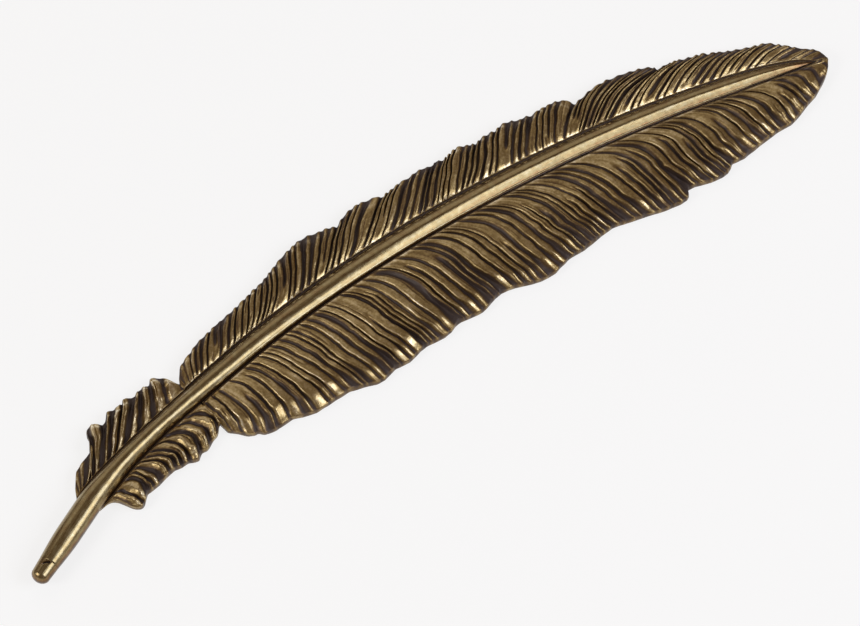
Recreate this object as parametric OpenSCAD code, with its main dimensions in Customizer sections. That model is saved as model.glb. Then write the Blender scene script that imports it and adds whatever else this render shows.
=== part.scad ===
// Feather pen: a cast brass feather on a round quill that hides a short ballpoint refill.
// Frame: +X runs along the feather from the quill end to the vane tip, +Y towards the narrow vane,
// +Z out of the carved front. The flat back lies on Z = 0 and the origin is the box's bottom centre.
// Places along the feather are measured as a distance from the quill's cap seam end.

/* [Feather] */
// Distance along the shaft from the start of the cap's dome to the vane tip
feather_len = 212; // [211.5:0.5:214]
// Height of the shaft's ridge above the flat back, mid feather
ridge_h = 4.2; // [3.9:0.1:4.5]
// Height of the shaft's side wall, where the vanes are seated
seat_h = 2.0; // [1.8:0.1:2.2]
// Height of a vane at its outer rim
rim_h = 2.5; // [2.2:0.1:2.7]
// How far a wide vane's crown stands above its seat
crown_h = 1.4; // [1.0:0.1:1.6]

/* [Quill] */
// Outer diameter of the quill's straight stretch
quill_d = 5.3; // [5.2:0.05:5.4]
// Diameter of the quill where it meets the cap
cap_d = 4.35; // [4.2:0.05:4.5]
// Distance at which the straight stretch starts
straight_from = 11.5; // [11:0.25:12.5]
// Distance at which the quill ends and the cast shaft starts
shaft_from = 18.5; // [18.25:0.25:18.75]

/* [Cap] */
// Distance of the seam between cap and quill
seam_at = 3.5; // [3.4:0.05:3.7]
// How far the dome stands out past the zero station
dome_out = 1.1; // [1.05:0.05:1.2]
// Diameter of the spigot that the cap slips on
spigot_d = 3.3; // [3.2:0.05:3.4]
// Length of the spigot
spigot_len = 1.7; // [1.5:0.1:1.8]
// Free travel that takes the cap clear of the spigot and the point
cap_travel = 8; // [6:1:12]

/* [Refill] */
// Outer diameter of the refill tube
refill_d = 2.35; // [2.3:0.05:2.35]
// Distance at which the refill ends, inside the shaft
refill_to = 26.4; // [24:0.2:26.4]
// Diameter of the writing ball
ball_d = 0.7; // [0.5:0.1:0.8]

/* [Fits] */
// Radial clearance of the cap on its spigot
cap_fit = 0.03; // [0.02:0.01:0.06]
// Radial clearance of the refill in its bush
bush_fit = 0.03; // [0.02:0.01:0.05]
// Radial clearance of the ball in its socket
ball_fit = 0.02; // [0.01:0.01:0.04]

/* [Hidden] */
$fn = 64;

brass = "#8c7440";
dark_brass = "#5f4c2b";
nickel = "#b9b6ae";
eps = 0.01;

// ---- The shaft's run in plan ----

// Heading of the shaft, in degrees, at distances along it
heading = [[-2, 23.4], [16, 23.4], [34, 12.2], [46, 9.1], [64, 7.3], [90, 1.5], [120, -4], [150, -8.6],
           [194, -16.2], [213, -23]];
// Zero station of the shaft
quill_start = [-103.1, -11.05];
// Stations of the cast shaft and the vanes
stations = concat([shaft_from], [for (s = [19:2:211]) s], [feather_len]);

// Running total of short straight steps, each in the heading at its middle
run = [for (s = 0, x = quill_start.x, y = quill_start.y; s <= 216;
            x = x + cos(lookup(s + 0.25, heading)) * 0.5,
            y = y + sin(lookup(s + 0.25, heading)) * 0.5,
            s = s + 0.5) [s, x, y]];
run_x = [for (r = run) [r[0], r[1]]];
run_y = [for (r = run) [r[0], r[2]]];

// Plan point at distance s along the shaft and w to its left
function at(s, w) =
    [lookup(s, run_x) - w * sin(lookup(s, heading)), lookup(s, run_y) + w * cos(lookup(s, heading))];

// ---- Heights and widths along the shaft ----

half_width = [[18.5, quill_d / 2], [25, 2.5], [31, 2.1], [42, 1.9], [60, 2.05], [100, 2.3], [170, 2.15],
              [190, 1.9], [200, 1.35], [207, 0.7], [feather_len, 0.2]];
ridge = [[18.5, quill_d], [36, 4.9], [60, 4.5], [80, ridge_h], [180, ridge_h - 0.2], [194, 3.7], [204, 3.3],
         [feather_len, 2.6]];

// ---- Vane outlines: distance along the shaft, and width from the shaft's centreline ----

upper_main = [[51, 4.3], [53, 6.5], [56, 7.9], [61, 9], [70, 9.4], [79, 10.6], [85, 12.1], [91, 13.3],
              [95, 12.8], [99.3, 11.4], [104, 13.1], [111, 11.9], [120, 12.7], [130.5, 13], [136, 12.5],
              [142, 13.2], [148, 12.2], [153.5, 12.8], [157.6, 10.3], [163, 12.1], [170, 12.4], [175, 11.9],
              [177.5, 10.4], [184, 10.6], [189, 9.8], [194, 8.5], [201.5, 7.7], [206, 4.8], [209, 3],
              [feather_len, 0.9]];
lower_main = [[51, 9.5], [51.7, 11.2], [53.3, 14], [55.4, 15.1], [57, 16.7], [62, 17.7], [66, 19.5],
              [76, 21], [84, 23.8], [88, 23.2], [92, 23.8], [97, 23], [103, 23.6], [108, 22.6], [113, 23.3],
              [119.5, 21.8], [130, 23.9], [138, 22.1], [143, 21.9], [150, 20.3], [160, 21.4], [168.5, 21.6],
              [170.5, 19.3], [179, 19.5], [182.5, 17.3], [190, 15.6], [199.5, 12.8], [205, 9.3], [210, 5],
              [feather_len, 1.6]];
upper_tuft = [[18.5, 2.9], [22, 6], [25, 7], [29.5, 7.8], [31.7, 11.7], [34.5, 10.1], [37, 10.8],
              [43, 9.5], [45, 10], [48, 9.8], [49.6, 8.6], [51, 4.3]];
lower_tuft = [[21, 2.9], [23, 4], [24.6, 7.4], [26, 8.6], [29, 8], [34, 8.5], [37, 8.7], [42, 10.8],
              [44, 10.2], [48.5, 9.6], [51, 8.3]];

// ---- Swept solids ----

// Joins equal rings of points, one per station, into one closed solid
module sweep(rings) {
    n = len(rings[0]);
    last = len(rings) - 1;
    sides = [for (i = [0:last - 1]) for (j = [0:n - 1]) [
        i * n + j, i * n + (j + 1) % n, (i + 1) * n + (j + 1) % n, (i + 1) * n + j]];
    near = [[for (j = [n - 1:-1:0]) j]];
    far = [[for (j = [0:n - 1]) last * n + j]];
    polyhedron(points = [for (r = rings) each r], faces = concat(sides, near, far), convexity = 6);
}

// Places a section, given as [w, z] points, at distance s
function placed(s, section) = [for (p = section) [at(s, p[0])[0], at(s, p[0])[1], p[1]]];

// Shaft section: flat base, upright side walls up to the seat, and a domed ridge above
function shaft_section(s) =
    let (b = lookup(s, half_width), top = lookup(s, ridge))
    concat([[-b, 0], [-b, seat_h]],
           [for (a = [150:-30:30]) [b * cos(a), seat_h + (top - seat_h) * sin(a)]],
           [[b, seat_h], [b, 0]]);

// Vane section on one side: from the seat up over the crown to the rim, and down to the flat back
function vane_section(s, outline, side) =
    let (b = lookup(s, half_width), e = max(lookup(s, outline), b + 0.3),
         rise = crown_h * min(1, (e - b) / 12), rim = seat_h + (rim_h - seat_h) * min(1, (e - b) / 5))
    [for (p = [[b, 0], [b, seat_h], [b + 0.25 * (e - b), seat_h + 0.65 * rise],
               [b + 0.55 * (e - b), seat_h + rise], [b + 0.8 * (e - b), rim + 0.55 * (seat_h + rise - rim)],
               [e, rim], [e, 0]]) [side * p[0], p[1]]];

// One vane over the stations between two distances; side is 1 for the narrow side and -1 for the wide one
module vane(outline, from, to, side) {
    here = concat([from], [for (s = stations) if (s > from + 0.2 && s < to - 0.2) s], [to]);
    rings = [for (s = here) placed(s, vane_section(s, outline, side))];
    sweep(side > 0 ? rings : [for (r = rings) [for (i = [len(r) - 1:-1:0]) r[i]]]);
}

// ---- The quill's axis ----

// Puts a shape made about +Z, whose height is the distance along the shaft, on the quill's axis
module on_quill() {
    translate([quill_start.x, quill_start.y, quill_d / 2]) rotate([0, 90, heading[0][1]]) children();
}

// A plain round bar between two distances
module bar(d, from, to) {
    translate([0, 0, from]) cylinder(d = d, h = to - from);
}

spigot_from = seam_at - spigot_len;
barrel_bore_d = refill_d + 0.14;
bush_bore_d = refill_d + 2 * bush_fit;
bush_d = 2.9;
bush_from = 6;
bush_to = 14;
tenon_d = 3.5;
tenon_to = 22.5;
tenon_gap = 0.04;
bore_to = 26.7;
cap_cavity_d = 2.5;
cap_cavity_from = -0.4;
seal_d = 1.6;
seal_t = 0.3;
point_from = -0.12;
point_to = 4.2;
point_spigot_to = 6;
tube_bore_d = refill_d - 0.45;

// ---- Sub-parts ----

// Turned quill: tapered at the cap, straight behind, with the cap spigot in front and a tenon behind
module quill_barrel() {
    color(brass) on_quill() difference() {
        rotate_extrude() polygon(concat(
            [[0, spigot_from], [spigot_d / 2, spigot_from], [spigot_d / 2, seam_at], [cap_d / 2, seam_at]],
            [for (i = [1:7]) let (t = i / 8) [
                cap_d / 2 + (quill_d - cap_d) / 2 * sin(90 * t), seam_at + (straight_from - seam_at) * t]],
            [[quill_d / 2, straight_from], [quill_d / 2, shaft_from], [tenon_d / 2, shaft_from],
             [tenon_d / 2, tenon_to], [0, tenon_to]]));
        bar(barrel_bore_d, spigot_from - 1, tenon_to + 1);
        bar(bush_d, bush_from, tenon_to + 1);
    }
}

// Cast shaft from the quill to the vane tip, bored for the quill's tenon and the refill's tail
module rachis() {
    color(brass) difference() {
        sweep([for (s = stations) placed(s, shaft_section(s))]);
        on_quill() bar(tenon_d + tenon_gap, shaft_from - 1, tenon_to + tenon_gap);
        on_quill() bar(barrel_bore_d, tenon_to - eps, bore_to);
    }
}

module upper_vane() {
    color(dark_brass) vane(upper_main, 51, feather_len, 1);
}

module lower_vane() {
    color(dark_brass) vane(lower_main, 51, feather_len, -1);
}

module upper_afterfeather() {
    color(dark_brass) vane(upper_tuft, shaft_from, 51, 1);
}

module lower_afterfeather() {
    color(dark_brass) vane(lower_tuft, 21, 51, -1);
}

// Domed slip-on cap with a nail nick at its rim
module tip_cap() {
    dome_r = 2.0;
    dome_at = 0.5;
    color(brass) on_quill() difference() {
        rotate_extrude() polygon(concat(
            [[0, seam_at - 0.05], [cap_d / 2, seam_at - 0.05]],
            [for (a = [0:10:90]) [dome_r * cos(a), dome_at - (dome_at + dome_out) * sin(a)]]));
        bar(spigot_d + 2 * cap_fit, spigot_from - 0.05, seam_at + 1);
        bar(cap_cavity_d, cap_cavity_from, spigot_from);
        bar(seal_d, cap_cavity_from - seal_t - 0.05, cap_cavity_from + eps);
        nail_nick();
    }
}

// Slanting crescent over the top of the cap, cut by the edge of a thin disc
module nail_nick() {
    disc_r = 1.3;
    above_cap = 0.93;
    nick_at = 2.7;
    translate([-cap_d / 2 - above_cap, -0.1, nick_at]) rotate([-45, 12, 0])
        cylinder(r = disc_r, h = 0.24, center = true);
}

// Soft disc at the bottom of the cap
module cap_seal() {
    color("#2c2a28") on_quill() bar(seal_d, cap_cavity_from - seal_t - 0.05, cap_cavity_from - 0.05);
}

// Thin sleeve that grips the refill
module refill_bush() {
    color("#d8d4c8") on_quill() difference() {
        bar(bush_d, bush_from, bush_to);
        bar(bush_bore_d, bush_from - 1, bush_to + 1);
    }
}

module refill_tube() {
    color(nickel) on_quill() difference() {
        bar(refill_d, point_to, refill_to);
        bar(tube_bore_d, point_to - 1, refill_to + 1);
    }
}

module refill_ink() {
    color("#1c2340") on_quill() bar(tube_bore_d, point_spigot_to, refill_to - 2.4);
}

// Turned cone with the ball's socket at its nose and a spigot in the tube
module refill_point() {
    color(nickel) on_quill() difference() {
        rotate_extrude() polygon([
            [0, point_from], [0.46, point_from], [0.62, 0.8], [1.0, 2.2], [1.05, 3.4], [refill_d / 2, 3.6],
            [refill_d / 2, point_to], [tube_bore_d / 2, point_to], [tube_bore_d / 2, point_spigot_to],
            [0, point_spigot_to]]);
        sphere(d = ball_d + 2 * ball_fit);
        bar(0.4, 0, point_spigot_to + 1);
    }
}

module writing_ball() {
    color("silver") on_quill() sphere(d = ball_d);
}

quill_barrel();
rachis();
upper_vane();
lower_vane();
upper_afterfeather();
lower_afterfeather();
tip_cap();
cap_seal();
refill_bush();
refill_tube();
refill_ink();
refill_point();
writing_ball();
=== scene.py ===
"""A feather pen in cast and polished antique brass.

The feather's carved barbs are real geometry: every vane is one closed skin whose mesh lines follow the
barbs from the shaft to the rim, so ribs, grooves, tips and the scalloped rim are worked out along and
across each barb. All sizes here are in millimetres along and across the shaft's run, and become metres in
one place.
"""
import math
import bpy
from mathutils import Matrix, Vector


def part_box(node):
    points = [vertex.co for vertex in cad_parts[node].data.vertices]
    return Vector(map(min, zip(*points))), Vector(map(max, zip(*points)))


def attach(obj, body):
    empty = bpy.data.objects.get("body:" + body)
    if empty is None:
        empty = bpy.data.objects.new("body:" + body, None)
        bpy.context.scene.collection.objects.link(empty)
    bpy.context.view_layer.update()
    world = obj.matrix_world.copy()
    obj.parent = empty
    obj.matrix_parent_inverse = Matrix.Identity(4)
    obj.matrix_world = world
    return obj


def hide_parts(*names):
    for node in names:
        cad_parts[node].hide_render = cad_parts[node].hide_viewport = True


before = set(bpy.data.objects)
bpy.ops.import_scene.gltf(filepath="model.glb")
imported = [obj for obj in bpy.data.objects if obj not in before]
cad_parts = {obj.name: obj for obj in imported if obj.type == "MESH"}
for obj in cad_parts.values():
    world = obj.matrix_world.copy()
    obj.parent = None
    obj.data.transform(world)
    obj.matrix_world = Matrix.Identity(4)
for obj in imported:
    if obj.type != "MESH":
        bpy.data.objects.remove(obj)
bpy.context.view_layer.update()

from types import SimpleNamespace

import bmesh
import bpy
import numpy as np
from mathutils import Vector

MM = 0.001

# ---- The shaft's run in plan ----

# Heading of the shaft in degrees, at distances from the quill's zero station
HEADING = np.array([(-3, 23.4), (16, 23.4), (34, 12.2), (46, 9.1), (64, 7.3), (90, 1.5), (120, -4),
                    (150, -8.6), (194, -16.2), (213, -23)], float)
FEATHER_LEN = 212.0
# Distances where the cast shaft starts and ends, and where the cap meets the quill
SHAFT_FROM = 18.5
SHAFT_TO = 209.3
SEAM = 3.5
# Radius of the quill's straight stretch
QUILL_R = 2.65

ball_low, ball_high = (np.array(corner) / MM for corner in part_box("writing_ball"))
QUILL_ZERO = (ball_low + ball_high) / 2

RUN_STEP = 0.25
run_s = np.arange(-3, FEATHER_LEN + 4, RUN_STEP)
run_turn = np.radians(np.interp(run_s[:-1] + RUN_STEP / 2, HEADING[:, 0], HEADING[:, 1]))
run_x = np.concatenate([[0], np.cumsum(np.cos(run_turn) * RUN_STEP)])
run_y = np.concatenate([[0], np.cumsum(np.sin(run_turn) * RUN_STEP)])
run_x += QUILL_ZERO[0] - np.interp(0, run_s, run_x)
run_y += QUILL_ZERO[1] - np.interp(0, run_s, run_y)


def placed(s, w, z):
    """Points at distance s along the run, w to its left and z up: the run's point plus w times its normal."""
    turn = np.radians(np.interp(s, HEADING[:, 0], HEADING[:, 1]))
    x = np.interp(s, run_s, run_x) - w * np.sin(turn)
    y = np.interp(s, run_s, run_y) + w * np.cos(turn)
    return np.stack(np.broadcast_arrays(x, y, z), axis=-1)


def on_quill(distance, across, height):
    """Points on the quill's straight axis: distance along it, across to its left, height above it."""
    turn = math.radians(HEADING[0, 1])
    x = QUILL_ZERO[0] + distance * math.cos(turn) - across * math.sin(turn)
    y = QUILL_ZERO[1] + distance * math.sin(turn) + across * math.cos(turn)
    return np.stack(np.broadcast_arrays(x, y, QUILL_ZERO[2] + height), axis=-1)


def read(s, table, column=1):
    """Straight-line reading of a table of points."""
    table = np.asarray(table, float)
    return np.interp(s, table[:, 0], table[:, column])


def ease(s, table, column=1, reach=1.5):
    """The mean of five straight-line readings within reach of s, so the table's corners come out round."""
    return sum(read(s + reach * d, table, column) for d in (-1, -0.5, 0, 0.5, 1)) / 5


def step(x):
    """Smooth step from 0 to 1: 3x squared less 2x cubed, with x held between 0 and 1."""
    x = np.clip(x, 0, 1)
    return x * x * (3 - 2 * x)


def ripple(s, w, seed, lengths, slant=0.35):
    """Sum of sine waves of the given wavelengths along the shaft, with random phases that drift with w."""
    own = np.random.default_rng(seed)
    total = 0
    for length in lengths:
        phase, drift = own.uniform(0, 2 * math.pi), own.uniform(-slant, slant)
        total = total + np.sin(2 * math.pi * (s + drift * w * 3) / length + phase)
    return total / len(lengths)


LATTICE = 256


def clouds(u, v, seed):
    """Smooth random field from -1 to 1: one random value at each whole (u, v), and eased blends between."""
    lattice = np.random.default_rng(seed).uniform(-1, 1, (LATTICE, LATTICE))
    u0, v0 = np.floor(u).astype(int), np.floor(v).astype(int)
    ease_u, ease_v = step(u - u0), step(v - v0)
    u0, v0, u1, v1 = u0 % LATTICE, v0 % LATTICE, (u0 + 1) % LATTICE, (v0 + 1) % LATTICE
    near = lattice[u0, v0] * (1 - ease_u) + lattice[u1, v0] * ease_u
    far = lattice[u0, v1] * (1 - ease_u) + lattice[u1, v1] * ease_u
    return near * (1 - ease_v) + far * ease_v


# ---- Meshes ----

def make_mesh(name, points, faces, layers):
    """Mesh from points in mm and quads or triangles, turned so that its volume is positive."""
    points = np.asarray(points, float) * MM
    tris = np.concatenate([f[:, [0, i, i + 1]] for f in faces for i in range(1, f.shape[1] - 1)])
    a, b, c = (points[tris[:, i]] for i in range(3))
    if np.einsum("ij,ij->i", a, np.cross(b, c)).sum() < 0:
        faces = [f[:, ::-1] for f in faces]
    sizes = np.concatenate([np.full(len(f), f.shape[1]) for f in faces])
    corners = np.concatenate([f.ravel() for f in faces])
    mesh = bpy.data.meshes.new(name)
    mesh.vertices.add(len(points))
    mesh.vertices.foreach_set("co", points.ravel())
    mesh.loops.add(len(corners))
    mesh.loops.foreach_set("vertex_index", corners)
    mesh.polygons.add(len(sizes))
    mesh.polygons.foreach_set("loop_start", np.concatenate([[0], np.cumsum(sizes)[:-1]]))
    mesh.polygons.foreach_set("use_smooth", np.ones(len(sizes), bool))
    for layer, values in layers.items():
        values = np.asarray(values, float)
        kind, field = ("FLOAT_VECTOR", "vector") if values.ndim == 2 else ("FLOAT", "value")
        mesh.attributes.new(layer, kind, "POINT").data.foreach_set(field, values.ravel())
    mesh.update(calc_edges=True)
    mesh.validate()
    piece = bpy.data.objects.new(name, mesh)
    bpy.context.scene.collection.objects.link(piece)
    return piece


def grid_quads(rows, columns, wrap_rows, wrap_columns):
    """Quads between neighbours of a grid, joined round where it wraps."""
    i, j = np.meshgrid(np.arange(rows if wrap_rows else rows - 1),
                       np.arange(columns if wrap_columns else columns - 1), indexing="ij")
    i, j = i.ravel(), j.ravel()
    down, right = (i + 1) % rows, (j + 1) % columns
    corners = [i * columns + j, i * columns + right, down * columns + right, down * columns + j]
    return np.stack(corners, axis=1)


def lofted(name, rings, layers):
    """Closed skin over equal closed rings in a row; each end is a fan round its ring's mean point."""
    count, size = rings.shape[:2]
    points = np.concatenate([rings.reshape(-1, 3), rings[[0, -1]].mean(axis=1)])
    j = np.arange(size)
    far = (count - 1) * size
    fans = [np.stack([np.full(size, count * size), (j + 1) % size, j], axis=1),
            np.stack([np.full(size, count * size + 1), far + j, far + (j + 1) % size], axis=1)]
    full = {}
    for layer, values in layers.items():
        values = np.asarray(values, float)
        flat = values.reshape(count * size, *values.shape[2:])
        full[layer] = np.concatenate([flat, values[[0, -1]].mean(axis=1)])
    return make_mesh(name, points, [grid_quads(count, size, False, True)] + fans, full)


# How bare the polished brass is, from 0, black-brown, to 1, bright: its level, how much the brown film that
# is left low on its sides takes off, and the painted highlight: a band made brighter where the key light
# reflects, as an angle round the quill
POLISHED_BARE = 0.68
FILM = 0.32
PAINTED_SHEEN = 0.09
PAINTED_SHEEN_AT = 2 * math.pi - 0.55
PAINTED_SHEEN_WIDE = 0.45
# Radius from which a turned surface counts as its outside
OUTSIDE_R = 1.9


def turned(name, profile, turns=96, sunk=None):
    """Surface of revolution on the quill's axis: (distance, radius) points turned round it, poles merged.

    sunk, where given, is a function of (distance, angle) that says how deep the outside is cut below its
    radius. A profile that starts and ends off the axis is a ring, and is closed on itself.
    """
    profile = np.asarray(profile, float)
    ring = profile[0, 1] > 0
    angle = np.linspace(0, 2 * math.pi, turns, endpoint=False)[:, None]
    distance, radius = profile[None, :, 0], profile[None, :, 1]
    depth = sunk(distance, angle) * (radius > OUTSIDE_R) if sunk else 0 * angle
    radius = np.maximum(radius - depth, 0)
    across, height = radius * np.sin(angle), radius * np.cos(angle)
    film = FILM * (1 - step((height - 0.1) / 1.5))
    # Painted highlight: the colour is made brighter in a band on the side that faces the key light
    wear_and_sheen = PAINTED_SHEEN * np.exp(-((angle - PAINTED_SHEEN_AT) / PAINTED_SHEEN_WIDE) ** 2)
    layers = {"bareness_and_sheen": (POLISHED_BARE + wear_and_sheen - 2.2 * depth - film).ravel(),
              "lie": np.stack([distance + 0 * angle, across, 0 * across], axis=-1).reshape(-1, 3)}
    quads = grid_quads(turns, len(profile), True, ring)
    piece = make_mesh(name, on_quill(distance, across, height).reshape(-1, 3), [quads], layers)
    if not ring:
        merge_poles(piece.data)
    piece.data.set_sharp_from_angle(angle=math.radians(40))
    return piece


def merge_poles(mesh):
    """Joins the points that lie on each other at the two poles."""
    bm = bmesh.new()
    bm.from_mesh(mesh)
    bmesh.ops.remove_doubles(bm, verts=bm.verts, dist=1e-7)
    bm.to_mesh(mesh)
    bm.free()


# ---- Materials ----

def srgb(code, alpha=1.0):
    """Linear colour of an sRGB hex code."""
    values = [int(code[i:i + 2], 16) / 255 for i in (1, 3, 5)]
    return (*(v / 12.92 if v <= 0.04045 else ((v + 0.055) / 1.055) ** 2.4 for v in values), alpha)


def add(material, kind, settings=None, **inputs):
    """Adds one node: settings are its own properties, and inputs are values or the output sockets to link."""
    node = material.node_tree.nodes.new(kind)
    for key, value in (settings or {}).items():
        setattr(node, key, value)
    for key, value in inputs.items():
        socket = node.inputs[int(key[1:]) if key[0] == "i" and key[1:].isdigit() else key.replace("_", " ")]
        if isinstance(value, bpy.types.NodeSocket):
            material.node_tree.links.new(value, socket)
        else:
            socket.default_value = value
    return node


def new_material(name):
    """Empty node material with its shader, which is returned with it."""
    material = bpy.data.materials.new(name)
    material.use_nodes = True
    shader = material.node_tree.nodes["Principled BSDF"]
    return material, shader


def set_ramp(node, stops):
    """Gives a colour ramp its stops: (place, hex colour) pairs."""
    ramp = node.color_ramp
    while len(ramp.elements) < len(stops):
        ramp.elements.new(0.5)
    for element, (place, code) in zip(ramp.elements, stops):
        element.position = place
        element.color = srgb(code)


def link(material, output, shader, socket):
    """Links an output to one of the shader's sockets."""
    material.node_tree.links.new(output, shader.inputs[socket])


def carved_brass():
    """Cast brass, oxidised black-brown all over and then rubbed back, so only the ribs are bright.

    The eye sees olive-gold ridges that break into dark grooves along a ragged line, with a fine cast grain.
    """
    material, shader = new_material("antique_brass_carved_and_rubbed")
    where = add(material, "ShaderNodeTexCoord").outputs["Object"]
    bareness_and_sheen = add(material, "ShaderNodeAttribute", {"attribute_name": "bareness_and_sheen"}).outputs["Fac"]
    # Patches of rubbing 4 mm across, and a cast grain of 0.5 mm and finer
    wear_and_sheen = add(material, "ShaderNodeTexNoise", Vector=where, Scale=250.0, Detail=3.0, Roughness=0.6)
    grain = add(material, "ShaderNodeTexNoise", Vector=where, Scale=2000.0, Detail=5.0, Roughness=0.65)
    ragged = add(material, "ShaderNodeMath", {"operation": "MULTIPLY_ADD"}, i0=grain.outputs["Fac"], i1=0.5,
                 i2=-0.25)
    uneven = add(material, "ShaderNodeMath", {"operation": "MULTIPLY_ADD"}, i0=wear_and_sheen.outputs["Fac"], i1=0.30,
                 i2=-0.15)
    offset = add(material, "ShaderNodeMath", {"operation": "ADD"}, i0=ragged.outputs[0], i1=uneven.outputs[0])
    bare_and_sheen = add(material, "ShaderNodeMath", {"operation": "ADD", "use_clamp": True}, i0=bareness_and_sheen,
               i1=offset.outputs[0])
    colour = add(material, "ShaderNodeValToRGB", i0=bare_and_sheen.outputs[0])
    set_ramp(colour, [(0.0, "#3f322d"), (0.28, "#4f3f33"), (0.48, "#725a39"), (0.68, "#a38c5d"),
                      (0.86, "#c8b48a"), (1.0, "#eadfc4")])
    link(material, colour.outputs["Color"], shader, "Base Color")
    metal = add(material, "ShaderNodeMapRange", Value=bare_and_sheen.outputs[0], i1=0.1, i2=0.6, i3=0.35, i4=1.0)
    link(material, metal.outputs[0], shader, "Metallic")
    rough = add(material, "ShaderNodeMapRange", Value=bare_and_sheen.outputs[0], i1=0.1, i2=0.9, i3=0.58, i4=0.28)
    link(material, rough.outputs[0], shader, "Roughness")
    bump = add(material, "ShaderNodeBump", Strength=0.5, Distance=0.00012, Height=grain.outputs["Fac"])
    link(material, bump.outputs["Normal"], shader, "Normal")
    # The same thin lacquer as on the shaft, less even over the carving
    shader.inputs["Coat Weight"].default_value = 0.2
    shader.inputs["Coat Roughness"].default_value = 0.35
    return material


def polished_brass():
    """Brass, filed lengthwise and buffed by hand, under the brown film that ageing leaves and a lacquer.

    The eye sees a smooth olive-brown metal, a clean highlight that turns silky where file lines run along it,
    and a few pin-holes from the casting.
    """
    material, shader = new_material("antique_brass_hand_polished")
    where = add(material, "ShaderNodeTexCoord").outputs["Object"]
    lie = add(material, "ShaderNodeAttribute", {"attribute_name": "lie"}).outputs["Vector"]
    bareness_and_sheen = add(material, "ShaderNodeAttribute", {"attribute_name": "bareness_and_sheen"}).outputs["Fac"]
    # File lines about 0.35 mm apart and 4 mm long: the lie is in mm, so it is drawn out along the shaft.
    # Real ones are near 0.1 mm apart, and these are as coarse as they must be to show.
    drawn = add(material, "ShaderNodeMapping", Vector=lie, Scale=(0.25, 2.8, 1.0))
    lines = add(material, "ShaderNodeTexNoise", Vector=drawn.outputs[0], Scale=1.0, Detail=3.0, Roughness=0.6)
    # The film is worn in patches 1.4 mm across and finer, over a tooth of 0.2 mm left by buffing
    film = add(material, "ShaderNodeTexNoise", Vector=where, Scale=700.0, Detail=6.0, Roughness=0.75)
    fine = add(material, "ShaderNodeTexNoise", Vector=where, Scale=5200.0, Detail=2.0, Roughness=0.5)
    worn = add(material, "ShaderNodeMath", {"operation": "MULTIPLY_ADD"}, i0=film.outputs["Fac"], i1=0.56,
               i2=-0.28)
    streaked = add(material, "ShaderNodeMath", {"operation": "MULTIPLY_ADD"}, i0=lines.outputs["Fac"],
                   i1=0.45, i2=worn.outputs[0])
    # The lines' mean is a half, so half their share comes off again
    level = add(material, "ShaderNodeMath", {"operation": "ADD"}, i0=bareness_and_sheen, i1=-0.225)
    bare_and_sheen = add(material, "ShaderNodeMath", {"operation": "ADD", "use_clamp": True}, i0=level.outputs[0],
               i1=streaked.outputs[0])
    colour = add(material, "ShaderNodeValToRGB", i0=bare_and_sheen.outputs[0])
    set_ramp(colour, [(0.0, "#2a1f17"), (0.30, "#4b3623"), (0.50, "#7b5b37"), (0.72, "#918058"),
                      (0.95, "#b6aa8a")])
    link(material, colour.outputs["Color"], shader, "Base Color")
    metal = add(material, "ShaderNodeMapRange", Value=bare_and_sheen.outputs[0], i1=0.1, i2=0.5, i3=0.4, i4=1.0)
    link(material, metal.outputs[0], shader, "Metallic")
    rough = add(material, "ShaderNodeMapRange", Value=lines.outputs["Fac"], i1=0.3, i2=0.7, i3=0.22, i4=0.37)
    link(material, rough.outputs[0], shader, "Roughness")
    # Pin-holes up to 0.35 mm wide, one in each cell of about 2.6 mm
    holes = add(material, "ShaderNodeTexVoronoi", Vector=where, Scale=380.0)
    pin = add(material, "ShaderNodeMapRange", Value=holes.outputs["Distance"], i1=0.0, i2=0.07, i3=-1.0,
              i4=0.0)
    low = add(material, "ShaderNodeMath", {"operation": "MULTIPLY_ADD"}, i0=lines.outputs["Fac"], i1=0.55,
              i2=pin.outputs[0])
    height = add(material, "ShaderNodeMath", {"operation": "MULTIPLY_ADD"}, i0=fine.outputs["Fac"], i1=0.12,
                 i2=low.outputs[0])
    bump = add(material, "ShaderNodeBump", Strength=0.42, Distance=0.00005, Height=height.outputs[0])
    link(material, bump.outputs["Normal"], shader, "Normal")
    # Thin clear lacquer, which lays a pale gleam over the brown
    shader.inputs["Coat Weight"].default_value = 0.38
    shader.inputs["Coat Roughness"].default_value = 0.28
    return material


def plain_finish(name, colour, metallic, roughness, spot_mm, depth, tint):
    """Finish of a small piece: one colour that drifts to a tint in spots, with matching unevenness.

    The spots' size and the depth of the unevenness are in mm.
    """
    material, shader = new_material(name)
    where = add(material, "ShaderNodeTexCoord").outputs["Object"]
    spots = add(material, "ShaderNodeTexNoise", Vector=where, Scale=1 / (spot_mm * MM), Detail=4.0,
                Roughness=0.6)
    mix = add(material, "ShaderNodeValToRGB", i0=spots.outputs["Fac"])
    set_ramp(mix, [(0.35, colour), (0.7, tint)])
    link(material, mix.outputs["Color"], shader, "Base Color")
    rough = add(material, "ShaderNodeMapRange", Value=spots.outputs["Fac"], i1=0.3, i2=0.7,
                i3=roughness * 0.8, i4=roughness * 1.25)
    link(material, rough.outputs[0], shader, "Roughness")
    bump = add(material, "ShaderNodeBump", Strength=0.25, Distance=depth * MM, Height=spots.outputs["Fac"])
    link(material, bump.outputs["Normal"], shader, "Normal")
    shader.inputs["Metallic"].default_value = metallic
    return material


CARVED = carved_brass()
POLISHED = polished_brass()
# Nickel over brass, barrel-plated: bright and slightly warm, with soft clouds
NICKEL = plain_finish("nickel_plate_on_brass", "#b9b4aa", 1.0, 0.22, 0.8, 0.004, "#a19a8d")
# Natural polyethylene tube: milky, waxy and faintly uneven
BUSH = plain_finish("natural_polyethylene_moulded", "#d9d3c4", 0.0, 0.45, 0.5, 0.01, "#c9c1ae")
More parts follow.
